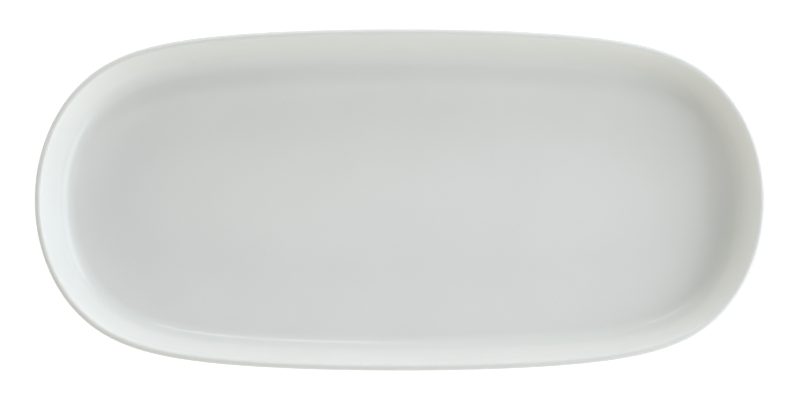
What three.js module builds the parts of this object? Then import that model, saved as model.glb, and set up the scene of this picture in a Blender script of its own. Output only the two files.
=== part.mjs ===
// An oblong serving platter: one fired clay body on a foot ring, under a glossy glaze that stops short of
// the foot. Sizes are in millimetres, with +Z up and +X along the platter. The origin is on the table,
// under the middle of the platter.

import * as THREE from "three";

// Overall size, over the glaze
const LENGTH = 330;
const WIDTH = 154.4;
const HEIGHT = 28;

// Wall: a round lip over an inside and an outside face, which lean outwards from upright
const LIP_RADIUS = 1.6;
const INSIDE_LEAN = THREE.MathUtils.degToRad(17);
const OUTSIDE_LEAN = THREE.MathUtils.degToRad(12);
const COVE_RADIUS = 8;
const HEEL_RADIUS = 10;

// Floor, and the foot ring under it
const FLOOR_THICKNESS = 4.5;
const FOOT_HEIGHT = 2.2;
const FOOT_WIDTH = 4;
const FOOT_SETBACK = 4;
const FOOT_EDGE_RADIUS = 0.7;

// Glaze, and the bare band that it leaves above the foot ring's rounded edges
const GLAZE_THICKNESS = 0.3;
const BARE_BAND = 0.4;

// Rim outline: how far its third and fifth harmonics square off an ellipse
const LENGTH_THIRD = -0.051;
const LENGTH_FIFTH = 0.0153;
const WIDTH_THIRD = 0.108;
const WIDTH_FIFTH = 0.0116;

// Facets
const RIM_STEPS = 72;
const COVE_STEPS = 5;
const LIP_QUARTER_STEPS = 3;
const HEEL_STEPS = 4;
const FOOT_EDGE_STEPS = 3;

// The outermost line of the lip, seen from above, run anticlockwise from the +X end.
class RimOutline extends THREE.Curve {
  getPoint(share, target = new THREE.Vector2()) {
    const turn = 2 * Math.PI * share;
    const [cos1, cos3, cos5] = [1, 3, 5].map((n) => Math.cos(n * turn));
    const [sin1, sin3, sin5] = [1, 3, 5].map((n) => Math.sin(n * turn));
    const along = cos1 + LENGTH_THIRD * (cos3 - cos1) + LENGTH_FIFTH * (cos5 - cos1);
    const across = sin1 + WIDTH_THIRD * (sin3 + sin1) + WIDTH_FIFTH * (sin5 - sin1);
    return target.set((along * LENGTH) / 2, (across * WIDTH) / 2);
  }

  // The direction out of the platter, square to the outline
  getNormal(share, target = new THREE.Vector2()) {
    const turn = 2 * Math.PI * share;
    const [cos1, cos3, cos5] = [1, 3, 5].map((n) => n * Math.cos(n * turn));
    const [sin1, sin3, sin5] = [1, 3, 5].map((n) => n * Math.sin(n * turn));
    const along = sin1 + LENGTH_THIRD * (sin3 - sin1) + LENGTH_FIFTH * (sin5 - sin1);
    const across = cos1 + WIDTH_THIRD * (cos3 + cos1) + WIDTH_FIFTH * (cos5 - cos1);
    return target.set(across * WIDTH, along * LENGTH).normalize();
  }
}

// Section through the wall: x is how far outside the rim outline a point lies, y is its height.
const lipCentre = new THREE.Vector2(-LIP_RADIUS, HEIGHT - LIP_RADIUS);
const coveCentre = besideWall(INSIDE_LEAN, -LIP_RADIUS, FOOT_HEIGHT + FLOOR_THICKNESS, COVE_RADIUS);
const heelCentre = besideWall(OUTSIDE_LEAN, LIP_RADIUS, FOOT_HEIGHT, HEEL_RADIUS);
const footOuterSide = heelCentre.x - FOOT_SETBACK;
const footInnerSide = footOuterSide - FOOT_WIDTH;
const glazeLine = FOOT_EDGE_RADIUS + BARE_BAND;

// The centre of an arc that runs from a level face into a face of the wall. The wall's face leans outwards
// and lies a given reach outside the lip's centre, and the arc lies on the platter's inner side of it.
function besideWall(lean, reach, level, radius) {
  const height = level + radius;
  const slant = Math.sin(lean) * (height - lipCentre.y);
  return new THREE.Vector2(lipCentre.x + (slant + reach - radius) / Math.cos(lean), height);
}

function arc(centre, radius, from, to, clockwise, steps) {
  return new THREE.ArcCurve(centre.x, centre.y, radius, from, to, clockwise).getPoints(steps);
}

// The round of the lip, with a corner at its top and one at its outermost line
function lipFace(radius) {
  return [
    ...arc(lipCentre, radius, Math.PI - INSIDE_LEAN, Math.PI / 2, true, LIP_QUARTER_STEPS),
    ...arc(lipCentre, radius, Math.PI / 2, 0, true, LIP_QUARTER_STEPS).slice(1),
    ...arc(lipCentre, radius, 0, -OUTSIDE_LEAN, true, 1).slice(1),
  ];
}

// The well, lip, outside and underside as far as the glaze line, at a depth below the face of the glaze
function outerFace(depth) {
  const footSide = footOuterSide + GLAZE_THICKNESS - depth;
  return [
    ...arc(coveCentre, COVE_RADIUS + depth, -Math.PI / 2, -INSIDE_LEAN, false, COVE_STEPS),
    ...lipFace(LIP_RADIUS - depth),
    ...arc(heelCentre, HEEL_RADIUS - depth, -OUTSIDE_LEAN, -Math.PI / 2, true, HEEL_STEPS),
    new THREE.Vector2(footSide, FOOT_HEIGHT + depth),
    new THREE.Vector2(footSide, glazeLine),
  ];
}

// The recess inside the foot ring, out to the glaze line, at a depth below the face of the glaze
function recessFace(depth) {
  const footSide = footInnerSide - GLAZE_THICKNESS + depth;
  return [
    new THREE.Vector2(footSide, FOOT_HEIGHT + depth),
    new THREE.Vector2(footSide, glazeLine),
  ];
}

// The bare sole of the foot ring, from its inner rounded edge to its outer one
function footSole() {
  const innerEdge = new THREE.Vector2(footInnerSide + FOOT_EDGE_RADIUS, FOOT_EDGE_RADIUS);
  const outerEdge = new THREE.Vector2(footOuterSide - FOOT_EDGE_RADIUS, FOOT_EDGE_RADIUS);
  return [
    ...arc(innerEdge, FOOT_EDGE_RADIUS, -Math.PI, -Math.PI / 2, false, FOOT_EDGE_STEPS),
    ...arc(outerEdge, FOOT_EDGE_RADIUS, -Math.PI / 2, 0, false, FOOT_EDGE_STEPS),
  ];
}

// The corners of a section that is carried round the rim outline, ring by ring
function ringCorners(section) {
  const rim = new RimOutline();
  const corners = [];
  for (const { x: outward, y: height } of section) {
    for (let step = 0; step < RIM_STEPS; step += 1) {
      const corner = rim.getPoint(step / RIM_STEPS);
      corner.addScaledVector(rim.getNormal(step / RIM_STEPS), outward);
      corners.push(corner.x, corner.y, height);
    }
  }
  return corners;
}

// The triangles between one ring and the next one out, as seen from above
function bandTriangles(innerRing, outerRing) {
  const triangles = [];
  for (let step = 0; step < RIM_STEPS; step += 1) {
    const next = (step + 1) % RIM_STEPS;
    const [inner, innerNext] = [step, next].map((corner) => innerRing * RIM_STEPS + corner);
    const [outer, outerNext] = [step, next].map((corner) => outerRing * RIM_STEPS + corner);
    triangles.push(inner, outer, outerNext);
    triangles.push(inner, outerNext, innerNext);
  }
  return triangles;
}

// The triangles of a face that is level in the middle and then runs out from ring to ring, seen from above
function faceTriangles(middle, firstRing, ringCount) {
  const triangles = [];
  for (let step = 0; step < RIM_STEPS; step += 1) {
    const next = (step + 1) % RIM_STEPS;
    triangles.push(middle, firstRing * RIM_STEPS + step, firstRing * RIM_STEPS + next);
  }
  for (let ring = firstRing; ring < firstRing + ringCount - 1; ring += 1) {
    triangles.push(...bandTriangles(ring, ring + 1));
  }
  return triangles;
}

// The solid between a top face and a bottom face, each a section listed from the middle outwards. A face
// that two solids share gets the same triangles in both, so that they meet all over.
function carriedRound(topFace, bottomFace) {
  const corners = ringCorners([...topFace, ...bottomFace]);
  const topMiddle = corners.length / 3;
  const bottomMiddle = topMiddle + 1;
  corners.push(0, 0, topFace[0].y);
  corners.push(0, 0, bottomFace[0].y);
  const top = faceTriangles(topMiddle, 0, topFace.length);
  const bottom = faceTriangles(bottomMiddle, topFace.length, bottomFace.length);
  const edge = bandTriangles(topFace.length - 1, topFace.length + bottomFace.length - 1);

  const solid = new THREE.BufferGeometry();
  solid.setAttribute("position", new THREE.Float32BufferAttribute(corners, 3));
  solid.setIndex([...top, ...edge, ...bottom.reverse()]);
  solid.computeVertexNormals();
  return solid;
}

function piece(name, topFace, bottomFace, material) {
  const mesh = new THREE.Mesh(carriedRound(topFace, bottomFace), material);
  mesh.name = name;
  return mesh;
}

const firedClay = new THREE.MeshStandardMaterial({ color: "#ded7ca", roughness: 0.85, metalness: 0 });
const whiteGlaze = new THREE.MeshStandardMaterial({ color: "#e4e6e2", roughness: 0.12, metalness: 0 });

const clayTop = outerFace(GLAZE_THICKNESS);
const clayRecess = recessFace(GLAZE_THICKNESS);

const platter = new THREE.Group();
platter.name = "platter";
platter.add(piece("clay_body", clayTop, [...clayRecess, ...footSole()], firedClay));
platter.add(piece("glaze_coat", outerFace(0), clayTop, whiteGlaze));
platter.add(piece("base_glaze", clayRecess, recessFace(0), whiteGlaze));

export default platter;
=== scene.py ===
# %% [markdown]
# # A long glazed platter
#
# The real object is one fired clay body, oblong and low, under a glossy white glaze that stops on the side of
# its foot ring. A plain solid model of it already exists and fixes every size and place. This lesson gives
# the three layers of that model finer skins, then their finishes, the light and a camera almost straight
# above.

import bpy
import numpy as np
from mathutils import Matrix, Vector


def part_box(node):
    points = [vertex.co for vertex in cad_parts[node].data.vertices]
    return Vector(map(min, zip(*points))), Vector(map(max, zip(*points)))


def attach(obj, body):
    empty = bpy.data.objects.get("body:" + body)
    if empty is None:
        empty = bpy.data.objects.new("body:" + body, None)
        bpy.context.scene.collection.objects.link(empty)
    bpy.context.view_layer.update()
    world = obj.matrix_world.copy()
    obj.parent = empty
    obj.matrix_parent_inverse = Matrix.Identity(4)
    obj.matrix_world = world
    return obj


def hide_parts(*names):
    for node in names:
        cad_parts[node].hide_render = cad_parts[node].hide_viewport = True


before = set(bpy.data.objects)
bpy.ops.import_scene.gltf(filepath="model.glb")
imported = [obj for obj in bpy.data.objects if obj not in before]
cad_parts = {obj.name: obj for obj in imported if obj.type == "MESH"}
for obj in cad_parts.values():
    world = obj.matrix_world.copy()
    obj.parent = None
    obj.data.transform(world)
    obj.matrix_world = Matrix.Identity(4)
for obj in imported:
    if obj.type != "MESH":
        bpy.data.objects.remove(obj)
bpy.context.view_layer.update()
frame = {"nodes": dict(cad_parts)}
print("nodes in the frame:", ", ".join(frame["nodes"]))

# %% [markdown]
# ## The sizes
#
# The overall sizes are read off the frame, so the skins follow the solid model. The frame also gives the
# height of the glaze line, the height of the foot ring and how far in its inner side lies. Only what a box
# can't tell is written here: the thicknesses, the roundings and the leans of the wall.

# %% Read the sizes off the frame
MM = 0.001
GLAZE = 0.3 * MM
coat_low, coat_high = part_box("glaze_coat")
base_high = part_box("base_glaze")[1]

LENGTH = coat_high.x - coat_low.x
WIDTH = coat_high.y - coat_low.y
HEIGHT = coat_high.z
GLAZE_LINE = coat_low.z
FOOT_HEIGHT = base_high.z - GLAZE
FOOT_INNER = base_high.x - LENGTH / 2
print(f"length {LENGTH / MM:.1f}, width {WIDTH / MM:.1f}, height {HEIGHT / MM:.1f} mm")
print(f"glaze line at {GLAZE_LINE / MM:.2f} mm, foot ring {FOOT_HEIGHT / MM:.2f} mm high")

# %% Write the thicknesses, roundings and leans
LIP_RADIUS = 1.6 * MM
INSIDE_LEAN = np.radians(17)
OUTSIDE_LEAN = np.radians(12)
COVE_RADIUS = 8 * MM
HEEL_RADIUS = 10 * MM
FLOOR_THICKNESS = 4.5 * MM
FOOT_WIDTH = 4 * MM
FOOT_EDGE_RADIUS = 0.7 * MM
FOOT_FILLET = 0.6 * MM

FLOOR_TOP = FOOT_HEIGHT + FLOOR_THICKNESS
FOOT_OUTER = FOOT_INNER + FOOT_WIDTH
print(f"the lip is {2 * LIP_RADIUS / MM:.1f} mm thick, and the floor lies {FLOOR_TOP / MM:.1f} mm up")

# %% [markdown]
# ## The rim line
#
# From above the lip draws a long soft oblong: the sides bow a little and the ends are broad and round. An
# ellipse is too pointed for it and a rounded rectangle too stiff. An ellipse with a small third and fifth
# harmonic added to its two waves bends evenly everywhere, and one short formula gives both the line and the
# direction square to it.

# %% Work out the rim line
STEPS_ROUND = 320
LENGTH_THIRD = -0.051
LENGTH_FIFTH = 0.0153
WIDTH_THIRD = 0.108
WIDTH_FIFTH = 0.0116


def rim_line(turn):
    """The rim's points and its outward directions, seen from above.

    Along: half the length times cos t + a(cos 3t - cos t) + b(cos 5t - cos t).
    Across: half the width times sin t + c(sin 3t + sin t) + d(sin 5t - sin t).
    The length's third and fifth are a and b, and the width's are c and d.
    Outward: the slope of that line, turned a quarter turn and made one long.
    """
    order = np.array([[1], [3], [5]])
    cosines = np.cos(order * turn)
    sines = np.sin(order * turn)
    along = np.array([1 - LENGTH_THIRD - LENGTH_FIFTH, LENGTH_THIRD, LENGTH_FIFTH]) * LENGTH / 2
    across = np.array([1 + WIDTH_THIRD - WIDTH_FIFTH, WIDTH_THIRD, WIDTH_FIFTH]) * WIDTH / 2
    points = np.stack([along @ cosines, across @ sines])
    outward = np.stack([across @ (order * cosines), along @ (order * sines)])
    return points, outward / np.linalg.norm(outward, axis=0)


turn = np.linspace(0, 2 * np.pi, STEPS_ROUND, endpoint=False)
rim, outward = rim_line(turn)
print(f"the rim line is {np.linalg.norm(rim - np.roll(rim, 1, axis=1), axis=0).sum() / MM:.0f} mm round")

# %% [markdown]
# ## The section of the wall
#
# Cut across, the wall is a few arcs joined by straight runs: the cove where the floor turns up, the round
# lip, the heel under the outside and the rounded foot ring. A bevel modifier could round a coarse mesh, but
# it can't tell an 8 mm cove from a 0.6 mm fillet without a lot of marking. So every arc is written down, and
# one helper keeps each row's notes: how far out it lies, how thick the glaze is there, and whether it belongs
# to the glaze's lower edge. The note of how thick the glaze is also paints shade: it darkens the cove and the
# lip.

# %% Helpers for a section
LIP_CENTRE = np.array([-LIP_RADIUS, HEIGHT - LIP_RADIUS])


def arc(centre, radius, start, end, count):
    """Points on a circle, at angles that run evenly from start to end: centre + radius (cos, sin)."""
    angle = np.linspace(start, end, count)
    return centre + radius * np.stack([np.cos(angle), np.sin(angle)], axis=1)


def run(start, end, count):
    """Points on a straight line between two points, with both ends left out."""
    share = np.linspace(0, 1, count + 2)[1:-1, None]
    return start + share * (end - start)


def beside_wall(lean, reach, level, radius):
    """The centre of an arc that joins a level face to a leaning face of the wall.

    The leaning face lies reach outside the lip's centre, measured square to it. The centre is one radius
    above the level face and one radius inside the leaning one.
    """
    height = level + radius
    slant = np.sin(lean) * (height - LIP_CENTRE[1])
    return np.array([LIP_CENTRE[0] + (slant + reach - radius) / np.cos(lean), height])


COVE_CENTRE = beside_wall(INSIDE_LEAN, -LIP_RADIUS, FLOOR_TOP, COVE_RADIUS)
HEEL_CENTRE = beside_wall(OUTSIDE_LEAN, LIP_RADIUS, FOOT_HEIGHT, HEEL_RADIUS)
print(f"the floor ends {-COVE_CENTRE[0] / MM:.1f} mm inside the rim line")

# %% Rows of a profile
UP = np.pi / 2
LEFT = np.pi
FLOOR_ROWS = 22
WALL_ROWS = 7


def rows(points, share=1.0, edge=0.0, pooling_and_shade=0.0):
    """Section points with notes: share of the way out, outward, height, edge, and how thick the glaze is,
    which also paints shade.
    """
    table = np.empty((len(points), 5))
    table[:, 0] = share
    table[:, 1:3] = points
    table[:, 3] = edge
    table[:, 4] = pooling_and_shade
    return table


def level_rows(point):
    """Rows of a level face, from near the middle out towards a point of the section."""
    share = np.linspace(0, 1, FLOOR_ROWS + 2)[1:-1]
    return rows(np.tile(point, (FLOOR_ROWS, 1)), share=share)


print("rows on a level face and notes on each:", level_rows(COVE_CENTRE).shape)

# %% The outer face of the coat
COVE_ROWS = 21
LIP_ROWS = 25
HEEL_ROWS = 17
UNDERSIDE_ROWS = 3
FILLET_ROWS = 7


def coat_rows(depth):
    """The well, lip, outside and underside down to the foot, at a depth under the face of the glaze.

    Every arc keeps its centre, and its radius grows or shrinks by the depth. The glaze is thick where it
    pools, in the cove and beside the foot, and thin where it runs off, on the lip. These notes also paint
    shade: the tints that they drive darken the cove and the lip.
    """
    cove = arc(COVE_CENTRE, COVE_RADIUS + depth, -UP, -INSIDE_LEAN, COVE_ROWS)
    lip = arc(LIP_CENTRE, LIP_RADIUS - depth, LEFT - INSIDE_LEAN, -OUTSIDE_LEAN, LIP_ROWS)
    heel = arc(HEEL_CENTRE, HEEL_RADIUS - depth, -OUTSIDE_LEAN, -UP, HEEL_ROWS)
    fillet_centre = np.array([FOOT_OUTER + GLAZE + FOOT_FILLET, FOOT_HEIGHT - FOOT_FILLET])
    fillet = arc(fillet_centre, FOOT_FILLET + depth, UP, LEFT, FILLET_ROWS)
    # Painted shade as well as glaze: the cove mask darkens and greens the cove, and the lip mask darkens the
    # lip.
    pooled_and_shaded = np.sin(np.linspace(0, np.pi, COVE_ROWS)) ** 2
    run_off_and_shaded = np.sin(np.linspace(0, np.pi, LIP_ROWS))
    return np.concatenate([
        level_rows(cove[0]),
        rows(cove, pooling_and_shade=pooled_and_shaded),
        rows(run(cove[-1], lip[0], WALL_ROWS)),
        rows(lip, pooling_and_shade=-run_off_and_shaded),
        rows(run(lip[-1], heel[0], WALL_ROWS)),
        rows(heel),
        rows(run(heel[-1], fillet[0], UNDERSIDE_ROWS)),
        rows(fillet, pooling_and_shade=1),
    ])


print("rows across the coat's face:", len(coat_rows(0)))

# %% The recess and the bare foot
EDGE_ROWS = 9
SOLE_ROWS = 5


def recess_rows(depth):
    """The recess inside the foot ring at a depth under its glaze, from the middle out to the foot."""
    fillet_centre = np.array([FOOT_INNER - GLAZE - FOOT_FILLET, FOOT_HEIGHT - FOOT_FILLET])
    fillet = arc(fillet_centre, FOOT_FILLET + depth, UP, 0, FILLET_ROWS)
    return np.concatenate([level_rows(fillet[0]), rows(fillet, pooling_and_shade=1)])


def glaze_edge(side):
    """The rolled lower edge of the glaze: half a circle as wide as the glaze is thick."""
    centre = np.array([side, GLAZE_LINE + GLAZE / 2])
    return rows(arc(centre, GLAZE / 2, 0, -LEFT, EDGE_ROWS), edge=1, pooling_and_shade=1)


def foot_rows():
    """The bare foot ring, from its outer side round two soft edges and the sole to its inner side."""
    outer = np.array([FOOT_OUTER - FOOT_EDGE_RADIUS, FOOT_EDGE_RADIUS])
    inner = np.array([FOOT_INNER + FOOT_EDGE_RADIUS, FOOT_EDGE_RADIUS])
    outer_edge = arc(outer, FOOT_EDGE_RADIUS, 0, -UP, EDGE_ROWS)
    inner_edge = arc(inner, FOOT_EDGE_RADIUS, -UP, -LEFT, EDGE_ROWS)
    sole = run(outer_edge[-1], inner_edge[0], SOLE_ROWS)
    return np.concatenate([rows(outer_edge), rows(sole), rows(inner_edge)])


print("rows across the recess and the foot:", len(recess_rows(0)), "and", len(foot_rows()))

# %% [markdown]
# ## Signs of the kiln
#
# A fired platter is never quite true. The floor sinks a little between the foot, the rim dips where the wall
# softened, and the wiped edge of the glaze wanders along the foot. These are fractions of a millimetre, yet
# reflections show them. A displace modifier would push each layer along its own faces and part them. One
# smooth function of the place moves every layer alike, so the layers still meet.

# %% Settle the clay
FLOOR_SAG = 0.35 * MM
SAG_HALF_LENGTH = 128 * MM
SAG_HALF_WIDTH = 50 * MM
RIM_DIP = 0.25 * MM
RIM_DIP_TURN = 0.9
EDGE_WANDER = 0.16 * MM
LONG_WAVE = dict(share=0.6, crests=5, start=1.0)
SHORT_WAVE = dict(share=0.4, crests=13, start=2.5)


def settled(points):
    """Lowers points the way the kiln does.

    The floor sinks by the sag times (1 - u squared - v squared) squared, inside an ellipse, where u and v
    are shares of its half sizes. The wall dips by a wave with two crests round the platter, times the square
    of the share of its height. Nothing rises, so the platter keeps inside its box.
    """
    x, y, z = points.T
    inside = np.clip(1 - (x / SAG_HALF_LENGTH) ** 2 - (y / SAG_HALF_WIDTH) ** 2, 0, 1)
    around = np.arctan2(y / WIDTH, x / LENGTH)
    up_the_wall = np.clip((z - FLOOR_TOP) / (HEIGHT - FLOOR_TOP), 0, 1) ** 2
    dip = RIM_DIP * (0.5 - 0.5 * np.cos(2 * around + RIM_DIP_TURN)) * up_the_wall
    return np.stack([x, y, z - FLOOR_SAG * inside**2 - dip], axis=1)


def wave(share, crests, start):
    """A share of a wave with a number of crests round the rim: share times sin(crests t + start)."""
    return share * np.sin(crests * turn + start)


edge_wave = EDGE_WANDER * (wave(**LONG_WAVE) + wave(**SHORT_WAVE))
print(f"the glaze line wanders by {np.ptp(edge_wave) / MM:.2f} mm")

# %% [markdown]
# ## From a profile to a skin
#
# Each layer is a closed skin that starts on the platter's axis, runs out along its upper face, turns at the
# edge and comes back to the axis along its lower face. A screw or spin would carry a profile round a circle,
# and here the path is the rim line, so the grid is worked out as whole arrays: one row for each point of the
# profile, one column for each step round the rim. A single point closes each end on the axis.

# %% Points and faces of a skin
def skin_points(profile):
    """The points of a profile carried round the rim, then one point on the axis for each end.

    A grid point lies at share times (rim + outward distance times the outward direction), seen from above,
    and at its row's height, plus the wandering wave on the rows of the glaze's edge.
    """
    share, reach, height, edge, _ = profile.T[:, :, None]
    x = share * (rim[0] + reach * outward[0])
    y = share * (rim[1] + reach * outward[1])
    grid = np.stack(np.broadcast_arrays(x, y, height + edge * edge_wave), axis=-1)
    ends = np.array([[0, 0, height[0, 0]], [0, 0, height[-1, 0]]])
    return settled(np.concatenate([grid.reshape(-1, 3), ends]))


def skin_faces(row_count):
    """Faces of four corners between neighbouring rows, and of three from the end rows to the axis."""
    here = np.arange(row_count * STEPS_ROUND).reshape(row_count, STEPS_ROUND)
    after = np.roll(here, -1, axis=1)
    bands = np.stack([here[:-1], here[1:], after[1:], after[:-1]], axis=-1).reshape(-1, 4)
    first = np.stack([np.full(STEPS_ROUND, here.size), here[0], after[0]], axis=-1)
    last = np.stack([np.full(STEPS_ROUND, here.size + 1), after[-1], here[-1]], axis=-1)
    return bands.tolist() + first.tolist() + last.tolist()


print("faces on a skin of two rows:", len(skin_faces(2)))

# %% Carry a profile round the rim
def carried_round(name, profile):
    """A closed skin as a new object, with a note of how thick the glaze is, which also paints shade, on its
    points.
    """
    mesh = bpy.data.meshes.new(name)
    mesh.from_pydata(skin_points(profile), [], skin_faces(len(profile)))
    mesh.polygons.foreach_set("use_smooth", np.ones(len(mesh.polygons), dtype=bool))
    pooling_and_shade = profile[:, -1]
    notes = np.append(np.repeat(pooling_and_shade, STEPS_ROUND), [pooling_and_shade[0], pooling_and_shade[-1]])
    # This note sets the glaze tints, which also paint shade in the cove and on the lip.
    mesh.attributes.new("glaze_pooling_and_shade", "FLOAT", "POINT").data.foreach_set("value", notes)
    piece = bpy.data.objects.new(name, mesh)
    bpy.context.scene.collection.objects.link(piece)
    return piece


def stand_for(piece, node):
    """Hides the solid that a piece stands for and fixes the piece to the body."""
    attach(piece, "root")
    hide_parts(node)
    print(f"{piece.name}: {2 * len(piece.data.polygons)} triangles at most")


print("every skin has", STEPS_ROUND, "steps round the rim")

# %% [markdown]
# ## The glaze coat
#
# Glaze is a skin of glass about 0.3 mm thick. On the real platter it covers the well, the lip and the
# outside, and ends in a small roll on the side of the foot, where the potter wiped it off. A solidify
# modifier would give it an even thickness but a square edge. Here its two faces are two profiles, and a half
# circle joins them.

# %% Make the glaze coat
coat_profile = np.concatenate([
    coat_rows(0),
    glaze_edge(FOOT_OUTER + GLAZE / 2),
    coat_rows(GLAZE)[::-1],
])
glaze_coat = carried_round("platter_glaze_coat", coat_profile)
stand_for(glaze_coat, "glaze_coat")

# %% [markdown]
# ## The clay body
#
# Under the glaze lies the body, and it shows only on the foot ring, which stays bare so that it doesn't stick
# to the kiln shelf. A boolean could cut the glaze's shape out of a block, but it leaves ragged faces along
# the cut. So the body takes the lower face of each glaze as its own face, and the layers fit without a gap.
# Between them comes the foot with its sponged, rounded edges.

# %% Make the clay body
clay_profile = np.concatenate([coat_rows(GLAZE), foot_rows(), recess_rows(GLAZE)[::-1]])
clay_body = carried_round("platter_clay_body", clay_profile)
stand_for(clay_body, "clay_body")

# %% [markdown]
# ## The base glaze
#
# The recess inside the foot ring has its own island of glaze, parted from the coat by the bare foot. A flat
# disc would leave an open gap at its edge. So it is made like the coat, but its shown face looks down, and
# the profile runs out along the clay and back along the glaze.

# %% Make the base glaze
base_profile = np.concatenate([
    recess_rows(GLAZE),
    glaze_edge(FOOT_INNER - GLAZE / 2),
    recess_rows(0)[::-1],
])
base_glaze = carried_round("platter_base_glaze", base_profile)
stand_for(base_glaze, "base_glaze")

# %% [markdown]
# ## A small node kit
#
# A finish in Blender is a graph of nodes. A few helpers keep the graphs short: they add a node and set its
# values, make clouds of noise, stretch a value, mix two colours, tilt the surface and start a finish. A mix
# node has sockets of one name for each kind of value, so the colour sockets go by their numbers. All patterns
# below read Object coordinates, which are metres here, so a noise of scale 40 has clouds of about 25 mm.

# %% Helpers for nodes and noise
NOISE_LOW = 0.3
NOISE_HIGH = 0.7


def add_node(tree, kind, values=None, **settings):
    """Adds a node of a kind, sets its own settings, then the values of its input sockets."""
    node = tree.nodes.new("ShaderNode" + kind)
    for setting, value in settings.items():
        setattr(node, setting, value)
    for socket, value in (values or {}).items():
        node.inputs[socket].default_value = value
    return node


def noise(tree, place, scale, detail=3.0):
    """Soft clouds in space, about 1/scale metres wide, with finer clouds folded in by detail."""
    clouds = add_node(tree, "TexNoise", {"Scale": scale, "Detail": detail})
    tree.links.new(place, clouds.inputs["Vector"])
    return clouds.outputs["Fac"]


def ranged(tree, value, **ends):
    """A map range node: carries a value from one range to another and stops it at both ends."""
    names = {"from_low": "From Min", "from_high": "From Max", "low": "To Min", "high": "To Max"}
    stretch = add_node(tree, "MapRange", {names[end]: number for end, number in ends.items()})
    tree.links.new(value, stretch.inputs["Value"])
    return stretch.outputs["Result"]


def spread(tree, clouds, low=0.0, high=1.0):
    """Stretches noise, which keeps near the middle of 0 to 1, so that it fills a range."""
    return ranged(tree, clouds, from_low=NOISE_LOW, from_high=NOISE_HIGH, low=low, high=high)


print(f"noise is stretched from {NOISE_LOW} to {NOISE_HIGH}")

# %% Helpers for colours, bumps and finishes
MIX_FIRST = 6
MIX_SECOND = 7
MIX_RESULT = 2


def mixed(tree, share, first, second):
    """A colour that goes from the first to the second as the share goes from 0 to 1."""
    mix = add_node(tree, "Mix", data_type="RGBA")
    for socket, colour in ((MIX_FIRST, first), (MIX_SECOND, second)):
        if isinstance(colour, tuple):
            mix.inputs[socket].default_value = (*colour, 1)
        else:
            tree.links.new(colour, mix.inputs[socket])
    tree.links.new(share, mix.inputs["Factor"])
    return mix.outputs[MIX_RESULT]


def bumped(tree, height, distance, under=None):
    """A bump node: tilts the surface as if the height, 0 to 1, were that many metres deep."""
    bump = add_node(tree, "Bump", {"Strength": 1, "Distance": distance})
    tree.links.new(height, bump.inputs["Height"])
    if under is not None:
        tree.links.new(under, bump.inputs["Normal"])
    return bump.outputs["Normal"]


def new_finish(name):
    """A new material, its node tree, its shader and the object's own coordinates in metres."""
    material = bpy.data.materials.new(name)
    material.use_nodes = True
    tree = material.node_tree
    place = add_node(tree, "TexCoord").outputs["Object"]
    return material, tree, tree.nodes["Principled BSDF"], place


print(f"a mix node takes its colours at sockets {MIX_FIRST} and {MIX_SECOND}")

# %% [markdown]
# ## White glaze
#
# The glaze is white with a touch of green-grey, glossy, and never perfectly even: it is a shade darker on the
# lip, where it is thin and the clay shows through, and a shade darker and greener where it pools. Both tints
# also paint shade: the darker lip stands for the shaded edge of the lip, and the pooling tint for the shade
# in the cove. Soft clouds come from the glaze being unevenly thick, and a few tiny iron specks lie in it. A
# single colour with low roughness would look like plastic, so a note of how thick the glaze is, kept on the
# mesh, drives the colour. Three noises shape the surface: long ripples, the faint level rings that the
# potter's tool left in the wall, and a fine skin like orange peel.

# %% Mix the white glaze
GLAZE_PALE = (0.792, 0.795, 0.768)
GLAZE_DEEP = (0.772, 0.778, 0.748)
# Where the glaze pools it is darker and greener, which also paints the shade of the cove; on the lip it is
# darker where the glaze is thin, which also paints the shade of the lip's edge.
GLAZE_POOLED_AND_COVE_SHADE = (0.750, 0.765, 0.733)
GLAZE_THIN_AND_LIP_SHADE = (0.755, 0.756, 0.730)
GLAZE_CLOUDS_PER_METRE = 28
SPECK = (0.36, 0.33, 0.28)
SPECK_SHARE = 0.6
SPECK_SPACING = 7 * MM
SPECK_RADIUS = 0.22 * MM


def glaze_colour(tree, place):
    """The glaze's clouds, its tints where it pools and where it is thin, which also paint shade, and its
    specks.
    """
    clouds = mixed(tree, spread(tree, noise(tree, place, GLAZE_CLOUDS_PER_METRE)), GLAZE_PALE, GLAZE_DEEP)
    pooling_and_shade = add_node(tree, "Attribute", attribute_name="glaze_pooling_and_shade").outputs["Fac"]
    # Painted shade: the tint where the glaze pools darkens the cove, and the thin tint darkens the lip.
    pooled_and_shaded = mixed(tree, ranged(tree, pooling_and_shade, from_low=0, from_high=1), clouds, GLAZE_POOLED_AND_COVE_SHADE)
    tinted = mixed(tree, ranged(tree, pooling_and_shade, from_low=0, from_high=-1), pooled_and_shaded, GLAZE_THIN_AND_LIP_SHADE)

    cells = add_node(tree, "TexVoronoi", {"Scale": 1 / SPECK_SPACING})
    tree.links.new(place, cells.inputs["Vector"])
    size = SPECK_RADIUS / SPECK_SPACING
    dots = ranged(tree, cells.outputs["Distance"], from_low=size, from_high=size / 2, high=SPECK_SHARE)
    return mixed(tree, dots, tinted, SPECK)


print(f"specks are up to {2 * SPECK_RADIUS / MM:.2f} mm wide")

# %% Finish the white glaze
GLAZE_ROUGHNESS = dict(low=0.10, high=0.16)
GLOSS_CLOUDS_PER_METRE = 60
RIPPLES_PER_METRE = 38
RIPPLE_HEIGHT = 0.06 * MM
RING_SPACING = 2.6 * MM
RING_HEIGHT = 0.06 * MM
RING_SQUEEZE = 0.02
PEEL_PER_METRE = 420
PEEL_HEIGHT = 0.008 * MM


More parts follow.
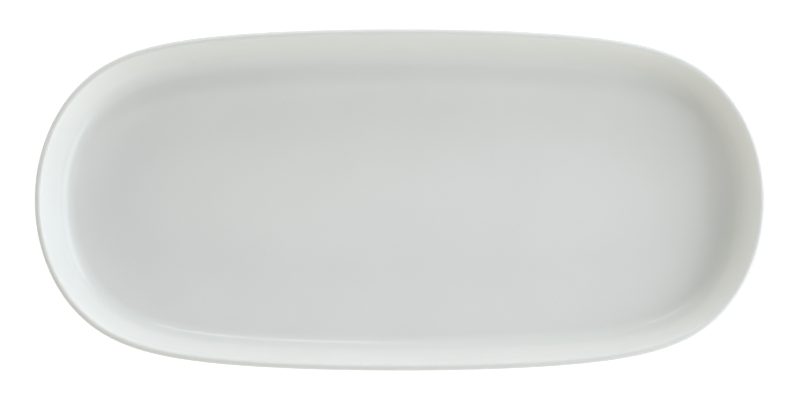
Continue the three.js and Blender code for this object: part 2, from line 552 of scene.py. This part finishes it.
def tool_rings(tree, place):
    """Noise that is drawn out sideways, so that it makes level bands round the wall."""
    drawn_out = add_node(tree, "Mapping", {"Scale": (RING_SQUEEZE, RING_SQUEEZE, 1)})
    tree.links.new(place, drawn_out.inputs["Vector"])
    return noise(tree, drawn_out.outputs["Vector"], 1 / RING_SPACING, detail=2)


def white_glaze():
    """Glossy glass over white clay, with long ripples, faint rings and a fine orange-peel skin."""
    material, tree, shader, place = new_finish("white_glaze")
    tree.links.new(glaze_colour(tree, place), shader.inputs["Base Color"])
    gloss = spread(tree, noise(tree, place, GLOSS_CLOUDS_PER_METRE), **GLAZE_ROUGHNESS)
    tree.links.new(gloss, shader.inputs["Roughness"])
    ripple = bumped(tree, noise(tree, place, RIPPLES_PER_METRE, detail=1), RIPPLE_HEIGHT)
    rings = bumped(tree, tool_rings(tree, place), RING_HEIGHT, under=ripple)
    peel = bumped(tree, noise(tree, place, PEEL_PER_METRE, detail=1), PEEL_HEIGHT, under=rings)
    tree.links.new(peel, shader.inputs["Normal"])
    return material


glaze_finish = white_glaze()
glaze_coat.data.materials.append(glaze_finish)
base_glaze.data.materials.append(glaze_finish)
print("white glaze:", len(glaze_finish.node_tree.nodes), "nodes")

# %% [markdown]
# ## Bare clay
#
# The foot is fired clay without glaze: warm off-white, matte and faintly sandy. Its sole is a little darker,
# because it rubs on tables. Grain is too fine to model, so a noise bumps it, while pits of about half a
# millimetre come from a cell pattern.

# %% Mix the bare clay
CLAY_PALE = (0.76, 0.71, 0.62)
CLAY_DARK = (0.66, 0.60, 0.51)
CLAY_RUBBED = (0.60, 0.56, 0.50)
RUBBED_HEIGHT = 0.3 * MM
RUBBED_SHARE = 0.5
CLAY_ROUGHNESS = dict(low=0.78, high=0.92)
CLAY_CLOUDS_PER_METRE = 90
DUST_CLOUDS_PER_METRE = 300
GRAINS_PER_METRE = 1800
GRAIN_HEIGHT = 0.05 * MM
PIT_SPACING = 1.4 * MM
PIT_SHARE = 0.25


def bare_clay():
    """Matte fired clay with clouds of colour, a rubbed sole, sandy grain and small pits."""
    material, tree, shader, place = new_finish("bare_clay")
    clouds = spread(tree, noise(tree, place, CLAY_CLOUDS_PER_METRE, detail=6))
    height = add_node(tree, "SeparateXYZ")
    tree.links.new(place, height.inputs["Vector"])
    rubbed = ranged(tree, height.outputs["Z"], from_low=RUBBED_HEIGHT, from_high=0, high=RUBBED_SHARE)
    colour = mixed(tree, rubbed, mixed(tree, clouds, CLAY_PALE, CLAY_DARK), CLAY_RUBBED)
    tree.links.new(colour, shader.inputs["Base Color"])
    dust = spread(tree, noise(tree, place, DUST_CLOUDS_PER_METRE), **CLAY_ROUGHNESS)
    tree.links.new(dust, shader.inputs["Roughness"])

    pits = add_node(tree, "TexVoronoi", {"Scale": 1 / PIT_SPACING})
    tree.links.new(place, pits.inputs["Vector"])
    pitted = bumped(tree, ranged(tree, pits.outputs["Distance"], from_high=PIT_SHARE), GRAIN_HEIGHT)
    grain = bumped(tree, noise(tree, place, GRAINS_PER_METRE, detail=4), GRAIN_HEIGHT, under=pitted)
    tree.links.new(grain, shader.inputs["Normal"])
    return material


clay_finish = bare_clay()
clay_body.data.materials.append(clay_finish)
print("bare clay:", len(clay_finish.node_tree.nodes), "nodes")

# %% [markdown]
# ## The table
#
# A white sheet lies under the platter. To the camera it should look plain white and still hold a soft
# shadow. Turning the lamps up would bleach the platter, so the sheet glows for the rays that look at it,
# straight or in a reflection, and is an ordinary pale card for the light that bounces off it.

# %% Finish the white table
WHITE = (1, 1, 1, 1)
TABLE_LIT = (0.6, 0.6, 0.6, 1)
TABLE_SHOWN = (0.40, 0.40, 0.40, 1)
TABLE_GLOW = 0.80


def looked_at(tree):
    """1 for rays that look at a surface, straight, in a reflection or through glass, and 0 for others."""
    light_path = add_node(tree, "LightPath")
    total = light_path.outputs["Is Camera Ray"]
    for kind in ("Is Glossy Ray", "Is Transmission Ray"):
        larger = add_node(tree, "Math", operation="MAXIMUM")
        tree.links.new(total, larger.inputs[0])
        tree.links.new(light_path.outputs[kind], larger.inputs[1])
        total = larger.outputs[0]
    return total


def lit_or_shown(tree, lit, shown, output):
    """Gives one shader to the light that passes and another to the rays that look."""
    choice = add_node(tree, "MixShader")
    tree.links.new(looked_at(tree), choice.inputs[0])
    tree.links.new(lit.outputs[0], choice.inputs[1])
    tree.links.new(shown.outputs[0], choice.inputs[2])
    tree.links.new(choice.outputs[0], output.inputs["Surface"])


def table_finish():
    """A pale card that also glows for the rays that look at it."""
    material = bpy.data.materials.new("white_table")
    material.use_nodes = True
    tree = material.node_tree
    tree.nodes.clear()
    card = add_node(tree, "BsdfDiffuse", {"Color": TABLE_LIT})
    shown_card = add_node(tree, "BsdfDiffuse", {"Color": TABLE_SHOWN})
    glow = add_node(tree, "Emission", {"Color": WHITE, "Strength": TABLE_GLOW})
    shown = add_node(tree, "AddShader")
    tree.links.new(shown_card.outputs[0], shown.inputs[0])
    tree.links.new(glow.outputs[0], shown.inputs[1])
    lit_or_shown(tree, card, shown, add_node(tree, "OutputMaterial"))
    return material


white_card = table_finish()
print("white table:", len(white_card.node_tree.nodes), "nodes")

# %% Lay the white table
TABLE_HALF = 0.7
TABLE_TILES = 8

table_steps = np.linspace(-TABLE_HALF, TABLE_HALF, TABLE_TILES + 1)
sheet_x, sheet_y = np.meshgrid(table_steps, table_steps)
corners = np.arange(sheet_x.size).reshape(sheet_x.shape)
tiles = np.stack([corners[:-1, :-1], corners[:-1, 1:], corners[1:, 1:], corners[1:, :-1]], axis=-1)
table_mesh = bpy.data.meshes.new("white_table")
table_points = np.stack([sheet_x, sheet_y, np.zeros_like(sheet_x)], axis=-1).reshape(-1, 3)
table_mesh.from_pydata(table_points, [], tiles.reshape(-1, 4).tolist())
table_mesh.materials.append(white_card)
white_table = bpy.data.objects.new("white_table", table_mesh)
bpy.context.scene.collection.objects.link(white_table)
print(f"the table is {2 * TABLE_HALF:.1f} m across")

# %% [markdown]
# ## The light
#
# The photograph has soft daylight from a large window at the right, and pale walls on the other sides send it
# back. That gives the bright left wall, the grey floor and the dark cove at the right. A picture of a room
# could light the platter too, but named lamps can be moved one at a time. Each lamp is a rectangle, given by
# the direction that it shines from, its width and height in metres, and its glow: a glow of 1 is as bright as
# white paper. The walls are too even to show in the glaze, so their cards stay out of reflections, and only
# the two windows draw a soft streak in the cove.

# %% Choose the lamps
SKY_LIGHT = (0.88, 0.93, 1.0)
PLAIN_LIGHT = (1.0, 1.0, 1.0)
WALL_LIGHT = (1.0, 0.98, 0.88)

WINDOWS = {
    "right_window": dict(around=0, up=23, size=(1.75, 0.83), glow=2.15, tint=SKY_LIGHT),
    "small_window": dict(around=104, up=45, size=(0.42, 0.11), glow=6.0, tint=PLAIN_LIGHT),
}
CARDS = {
    "right_high": dict(around=0, up=50, size=(0.7, 0.5), glow=2.25, tint=SKY_LIGHT),
    "back_right": dict(around=60, up=14, size=(0.8, 0.45), glow=3.0, tint=SKY_LIGHT),
    "back_left": dict(around=120, up=14, size=(0.8, 0.45), glow=3.5, tint=PLAIN_LIGHT),
    "left_wall": dict(around=180, up=14, size=(0.55, 0.45), glow=3.0, tint=WALL_LIGHT),
    "front_wall": dict(around=265, up=14, size=(0.8, 0.45), glow=3.45, tint=WALL_LIGHT),
    "front_high": dict(around=285, up=45, size=(0.8, 0.5), glow=0.7, tint=PLAIN_LIGHT),
}
print(f"{len(WINDOWS)} windows and {len(CARDS)} cards")

# %% Hang the lamps
LAMP_DISTANCE = 1.1


def hang_lamp(name, around, up, size, glow, tint, shows):
    """A glowing rectangle that faces the platter, from degrees around it and degrees up.

    Around starts at the right end and goes by the back. An area lamp's energy is pi times its area times its
    glow. A lamp that shows is seen in reflections.
    """
    lamp = bpy.data.lights.new(name, "AREA")
    lamp.shape = "RECTANGLE"
    lamp.size, lamp.size_y = size
    lamp.color = tint
    lamp.energy = np.pi * size[0] * size[1] * glow
    stand = bpy.data.objects.new(name, lamp)
    around, up = np.radians([around, up])
    away = Vector((np.cos(up) * np.cos(around), np.cos(up) * np.sin(around), np.sin(up)))
    stand.matrix_world = Matrix.LocRotScale(away * LAMP_DISTANCE, away.to_track_quat("Z", "Y"), None)
    stand.visible_camera = False
    stand.visible_glossy = shows
    bpy.context.scene.collection.objects.link(stand)


for lamp_name, lamp_facts in WINDOWS.items():
    hang_lamp(lamp_name, **lamp_facts, shows=True)
for lamp_name, lamp_facts in CARDS.items():
    hang_lamp(lamp_name, **lamp_facts, shows=False)
print("lamps:", ", ".join([*WINDOWS, *CARDS]))

# %% [markdown]
# ## The room
#
# What the lamps leave open is filled by the world. A plain white world would look right, but it would light
# the platter far too much. So it is a dim grey for everything that it lights and plain white for the rays
# that look at it, and the background is white from every side.

# %% Fill the room
ROOM_GLOW = (0.21, 0.21, 0.205, 1)

world = bpy.data.worlds.new("room")
world.use_nodes = True
bpy.context.scene.world = world
room = world.node_tree
room.nodes.clear()
fill = add_node(room, "Background", {"Color": ROOM_GLOW, "Strength": 1})
backdrop = add_node(room, "Background", {"Color": WHITE, "Strength": 1})
lit_or_shown(room, fill, backdrop, add_node(room, "OutputWorld"))
bpy.context.scene.view_settings.view_transform = "Standard"
print("room:", len(room.nodes), "nodes")

# %% [markdown]
# ## The camera
#
# The photograph looks down from almost straight above, leaning a degree or two towards the near side, from
# about 0.8 m: the wall shows inside the rim on all sides, and a little more of it at the far side. The lens
# could be found by trying, but it follows from how much of the rim line's plane fits across the picture.

# %% Set up the camera
CAMERA_HEIGHT_ANGLE = np.radians(88.4)
CAMERA_DISTANCE = 0.8
PICTURE_WIDTH = 361.3 * MM
SENSOR_WIDTH = 36
LOOK_NEARER = 4.35 * MM
LOOK_AT = Vector((0, -LOOK_NEARER, HEIGHT - LIP_RADIUS))

camera = bpy.data.cameras.new("camera")
camera.sensor_width = SENSOR_WIDTH
camera.lens = SENSOR_WIDTH * CAMERA_DISTANCE / PICTURE_WIDTH
tripod = bpy.data.objects.new("camera", camera)
back = Vector((0, -np.cos(CAMERA_HEIGHT_ANGLE), np.sin(CAMERA_HEIGHT_ANGLE)))
tripod.matrix_world = Matrix.LocRotScale(LOOK_AT + back * CAMERA_DISTANCE, back.to_track_quat("Z", "Y"), None)
bpy.context.scene.collection.objects.link(tripod)
bpy.context.scene.camera = tripod
print(f"lens {camera.lens:.1f} mm")
